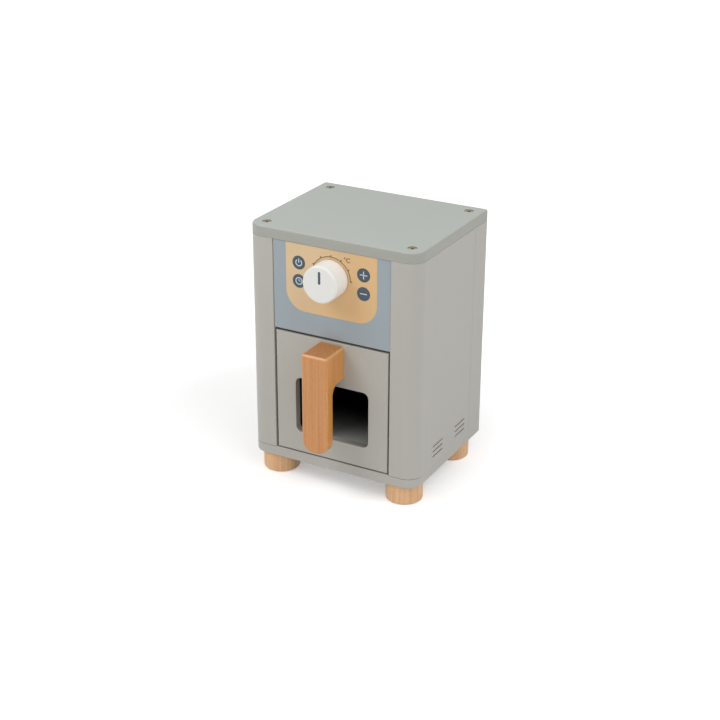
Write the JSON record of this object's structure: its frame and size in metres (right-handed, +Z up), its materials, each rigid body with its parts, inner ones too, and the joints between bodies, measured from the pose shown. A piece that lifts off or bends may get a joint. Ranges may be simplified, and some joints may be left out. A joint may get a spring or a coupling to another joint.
{
  "type": "toy air fryer",
  "caption": "Painted wooden play air fryer on turned feet, with a windowed pull-out drawer, an L-shaped beech handle and a turning dial.",
  "frame": {"origin": "middle of the toy's footprint with the handle included, on the surface that it stands on", "axes": "+X to the toy's right as seen from the front, +Y to its back, +Z up; the drawer and the dial face -Y"},
  "size_m": [0.18, 0.1798, 0.2573],
  "materials": {
    "case_paint": "satin warm grey paint on board",
    "panel_paint": "satin blue-grey paint with a printed peach field",
    "knob_paint": "satin white paint",
    "beech": "clear satin lacquer",
    "bare_wood": "sanded, bare",
    "plywood": "matte dark paint on thin sheet",
    "zinc_steel": "zinc plated",
    "brass": "dulled plating"
  },
  "bodies": {
    "root": {"bottom_board": "case_paint", "top_board": "case_paint", "left_front_post": "case_paint", "right_front_post": "case_paint", "left_rear_post": "case_paint", "right_rear_post": "case_paint", "left_side_panel": "case_paint", "right_side_panel": "case_paint", "rear_panel": "case_paint", "divider_shelf": "plywood", "control_panel": "panel_paint", "left_drawer_guide": "bare_wood", "right_drawer_guide": "bare_wood", "drawer_stops": "bare_wood", "top_bolts": "brass", "post_inserts": "brass", "foot_screws": "zinc_steel", "rear_panel_screws": "zinc_steel", "guide_screws": "zinc_steel", "panel_dowels": "bare_wood", "side_dowels": "bare_wood", "front_left_foot": "beech", "front_right_foot": "beech", "rear_left_foot": "beech", "rear_right_foot": "beech"},
    "drawer": {"drawer_front": "case_paint", "drawer_left_side": "case_paint", "drawer_right_side": "case_paint", "drawer_back": "case_paint", "drawer_base": "plywood", "drawer_handle": "beech", "handle_screws": "zinc_steel", "drawer_dowels": "bare_wood", "drawer_screws": "zinc_steel"},
    "dial": {"dial_knob": "knob_paint", "dial_axle": "bare_wood", "dial_washer": "zinc_steel", "dial_screw": "zinc_steel"}
  },
  "joints": [
    {"name": "drawer_slide", "type": "slide", "parent": "root", "child": "drawer", "axis": [0, -1, 0], "range_m": [0, 0.14]},
    {"name": "dial_turn", "type": "hinge", "parent": "root", "child": "dial", "pos_m": [0, -0.05665, 0.2189], "axis": [0, 1, 0], "continuous": true}
  ]
}
